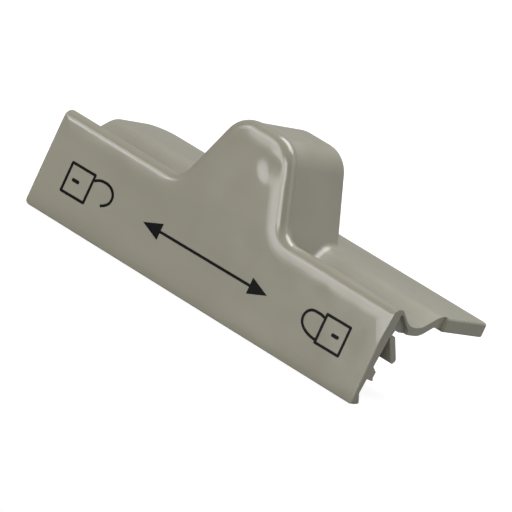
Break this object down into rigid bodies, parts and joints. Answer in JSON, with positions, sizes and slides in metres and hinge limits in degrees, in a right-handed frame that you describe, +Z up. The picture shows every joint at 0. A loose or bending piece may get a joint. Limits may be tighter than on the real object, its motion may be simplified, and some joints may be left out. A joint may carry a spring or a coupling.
{
  "type": "sliding door lock slider",
  "caption": "Moulded slider of a sliding door lock: a long printed face with a rounded thumb grip, a trough behind the rim and a flat ledge that slides into the keeper.",
  "frame": {"origin": "on the flat underside of the ledge, at the middle of the face's length and half-way between the ledge's step and its back edge", "axes": "+X runs along the door rail towards the keeper end, +Y runs back from the printed face, +Z is up"},
  "size_m": [0.0908, 0.0343, 0.0387],
  "materials": {
    "slider_plastic": "glossy moulded plastic in a warm grey-beige"
  },
  "bodies": {
    "root": {"lock_slider": "slider_plastic"}
  },
  "joints": []
}
